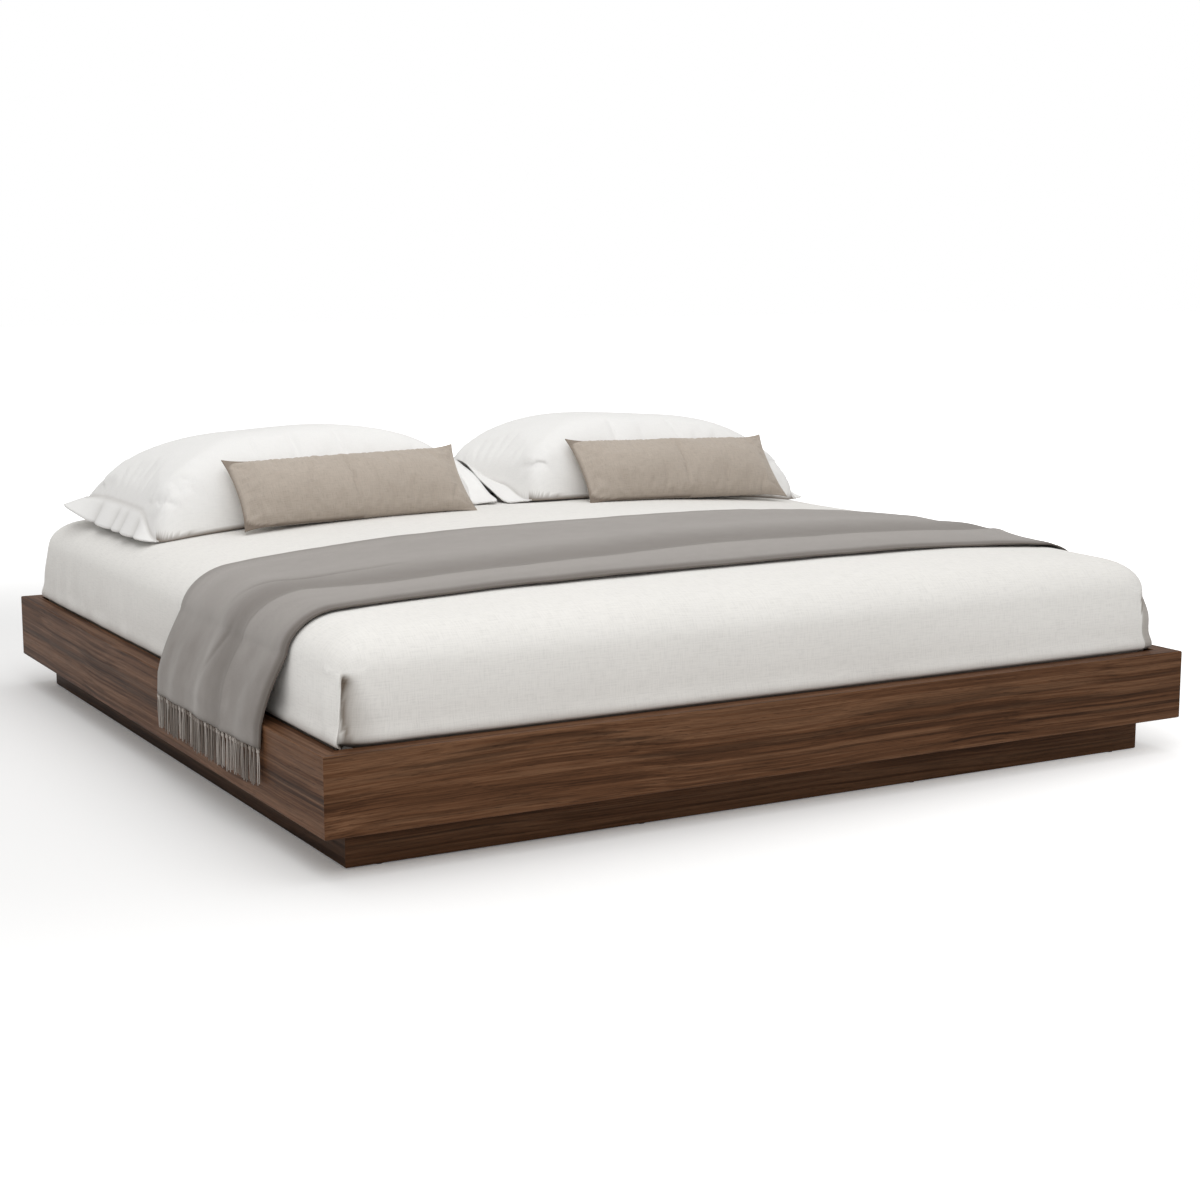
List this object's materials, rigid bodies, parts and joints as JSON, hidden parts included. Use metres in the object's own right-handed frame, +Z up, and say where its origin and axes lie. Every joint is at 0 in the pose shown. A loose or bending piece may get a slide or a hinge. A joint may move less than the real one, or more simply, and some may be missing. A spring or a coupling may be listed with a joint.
{
  "type": "platform bed",
  "caption": "Low platform bed: mitred wood rails on a recessed plinth, slatted base, mattress in a linen cover, flanged pillows, lumbar cushions and a fringed throw.",
  "frame": {"origin": "middle of the footprint at floor level", "axes": "+Z up, +Y towards the head end, +X to the right seen from the foot end"},
  "size_m": [2.1386, 2.1, 0.6869],
  "materials": {
    "walnut": "satin",
    "dark_walnut": "satin",
    "pine": "matte",
    "steel": "satin",
    "glide": "matte",
    "tape": "matte",
    "ticking": "matte",
    "linen": "matte",
    "pillow_linen": "matte",
    "taupe_linen": "matte",
    "grey_wool": "matte"
  },
  "bodies": {
    "bed_frame": {"side_rail_left": "walnut", "side_rail_right": "walnut", "foot_rail": "walnut", "head_rail": "walnut", "side_ledger_left": "pine", "side_ledger_right": "pine", "foot_ledger": "pine", "head_ledger": "pine", "centre_beam": "pine", "beam_hangers": "steel", "hanger_screws": "steel", "corner_brackets": "steel", "bracket_bolts": "steel", "ledger_screws": "steel", "plinth_screws": "steel", "plinth_front": "dark_walnut", "plinth_back": "dark_walnut", "plinth_left": "dark_walnut", "plinth_right": "dark_walnut", "plinth_ribs": "pine", "plinth_corner_blocks": "pine", "glides": "glide", "slats_left": "pine", "slats_right": "pine", "slat_tapes": "tape"},
    "mattress_and_cover": {"mattress": "ticking", "bed_cover": "linen"},
    "throw_blanket": {"throw": "grey_wool", "fringe_left": "grey_wool", "fringe_right": "grey_wool"},
    "left_pillow": {"pillow_left": "pillow_linen"},
    "right_pillow": {"pillow_right": "pillow_linen"},
    "left_cushion": {"cushion_left": "taupe_linen"},
    "right_cushion": {"cushion_right": "taupe_linen"}
  },
  "joints": [
    {"name": "mattress_lift", "type": "slide", "parent": "bed_frame", "child": "mattress_and_cover", "axis": [0, 0, 1], "range_m": [0, 0.3]},
    {"name": "throw_lift", "type": "slide", "parent": "mattress_and_cover", "child": "throw_blanket", "axis": [0, 0, 1], "range_m": [0, 0.45]},
    {"name": "left_pillow_lift", "type": "slide", "parent": "mattress_and_cover", "child": "left_pillow", "axis": [0, 0, 1], "range_m": [0, 0.3]},
    {"name": "right_pillow_lift", "type": "slide", "parent": "mattress_and_cover", "child": "right_pillow", "axis": [0, 0, 1], "range_m": [0, 0.3]},
    {"name": "left_cushion_lift", "type": "slide", "parent": "left_pillow", "child": "left_cushion", "axis": [0, 0, 1], "range_m": [0, 0.3]},
    {"name": "right_cushion_lift", "type": "slide", "parent": "right_pillow", "child": "right_cushion", "axis": [0, 0, 1], "range_m": [0, 0.3]}
  ]
}
